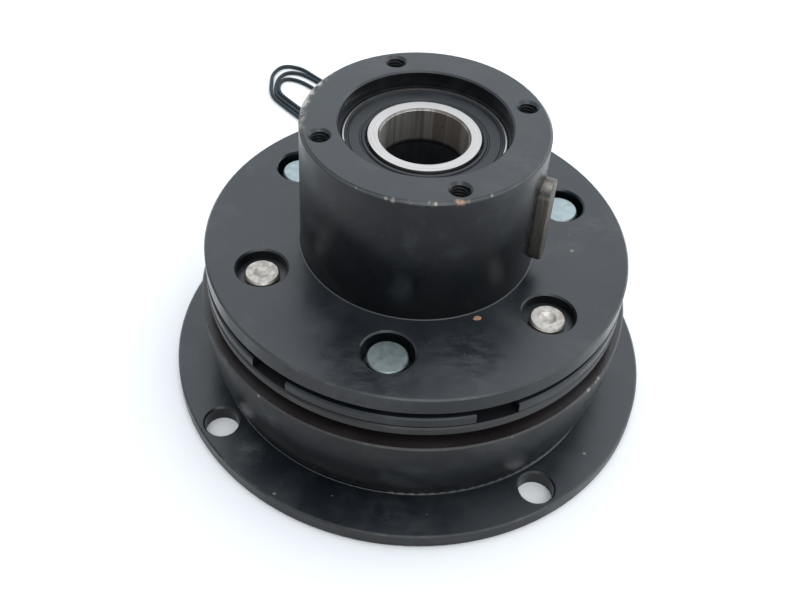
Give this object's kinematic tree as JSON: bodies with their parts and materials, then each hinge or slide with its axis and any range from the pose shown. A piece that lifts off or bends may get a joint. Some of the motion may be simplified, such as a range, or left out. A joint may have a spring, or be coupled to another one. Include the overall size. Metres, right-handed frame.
{
  "type": "electromagnetic clutch",
  "caption": "Flange-mounted electromagnetic disc clutch: stationary coil field, keyed rotor, spring-held armature disc and a keyed pulley hub on ball bearings, with two wire leads.",
  "frame": {"origin": "centre of the mounting flange's back face, on the shaft axis", "axes": "+Z along the shaft axis, from the mounting flange to the end of the pulley hub; +X is a plain direction across the flange, 16 degrees round from the hub's key, and the lead wires leave on the +Y side"},
  "size_m": [0.15, 0.229, 0.0935],
  "materials": {
    "black_oxide_steel": "black oxide, satin, oiled",
    "nylon": "natural nylon",
    "copper_wire": "enamelled winding wire",
    "potting_resin": "cast black resin",
    "black_rubber": "moulded black rubber",
    "lead_insulation": "black soft wire insulation",
    "friction_lining": "moulded friction material",
    "plain_steel": "turned steel",
    "key_steel": "drawn bright steel, dulled",
    "spring_steel": "blued spring steel",
    "black_screw": "black oxide",
    "bearing_steel": "ground",
    "cage_steel": "pressed steel",
    "nickel_rivet": "nickel plated, dull",
    "zinc_rivet": "bluish zinc plating"
  },
  "bodies": {
    "field": {"mounting_flange": "black_oxide_steel", "field_body": "black_oxide_steel", "coil_bobbin": "nylon", "coil_winding": "copper_wire", "coil_potting": "potting_resin", "flange_screw_1": "black_screw", "flange_screw_2": "black_screw", "flange_screw_3": "black_screw", "flange_screw_4": "black_screw", "lead_grommet": "black_rubber", "lead_a": "lead_insulation", "lead_b": "lead_insulation", "lead_hank": "lead_insulation"},
    "shaft_group": {"rotor": "black_oxide_steel", "friction_lining": "friction_lining", "setting_collar": "plain_steel", "spacer_sleeve": "plain_steel", "upper_bearing_inner_ring": "bearing_steel", "lower_bearing_inner_ring": "bearing_steel"},
    "hub": {"armature_hub": "black_oxide_steel", "drive_key": "key_steel", "retaining_ring": "spring_steel", "upper_bearing_outer_ring": "bearing_steel", "lower_bearing_outer_ring": "bearing_steel", "upper_bearing_top_seal": "black_rubber", "upper_bearing_bottom_seal": "black_rubber", "lower_bearing_top_seal": "black_rubber", "lower_bearing_bottom_seal": "black_rubber", "hub_rivet_1": "nickel_rivet", "hub_rivet_2": "nickel_rivet", "hub_rivet_3": "nickel_rivet", "spring_spacer_1": "plain_steel", "spring_spacer_2": "plain_steel", "spring_spacer_3": "plain_steel", "leaf_spring_1": "spring_steel", "leaf_spring_2": "spring_steel", "leaf_spring_3": "spring_steel"},
    "ball_cages": {"upper_bearing_balls": "bearing_steel", "upper_bearing_cage": "cage_steel", "lower_bearing_balls": "bearing_steel", "lower_bearing_cage": "cage_steel"},
    "armature": {"armature_plate": "black_oxide_steel", "armature_rivet_1": "zinc_rivet", "armature_rivet_2": "zinc_rivet", "armature_rivet_3": "zinc_rivet"}
  },
  "joints": [
    {"name": "rotor_spin", "type": "hinge", "parent": "field", "child": "shaft_group", "pos_m": [0, 0, 0.02], "axis": [0, 0, 1], "continuous": true},
    {"name": "hub_spin", "type": "hinge", "parent": "shaft_group", "child": "hub", "pos_m": [0, 0, 0.067], "axis": [0, 0, 1], "continuous": true},
    {"name": "ball_spin", "type": "hinge", "parent": "shaft_group", "child": "ball_cages", "pos_m": [0, 0, 0.067], "axis": [0, 0, 1], "continuous": true},
    {"name": "armature_slide", "type": "slide", "parent": "hub", "child": "armature", "axis": [0, 0, 1], "range_m": [-0.00045, 0], "stiffness_N_per_m": 20000, "springref_m": 0.0005, "deforming": ["leaf_spring_1", "leaf_spring_2", "leaf_spring_3"]}
  ],
  "couplings": [
    {"joint": "ball_spin", "follows": "hub_spin", "ratio": 0.5917}
  ]
}
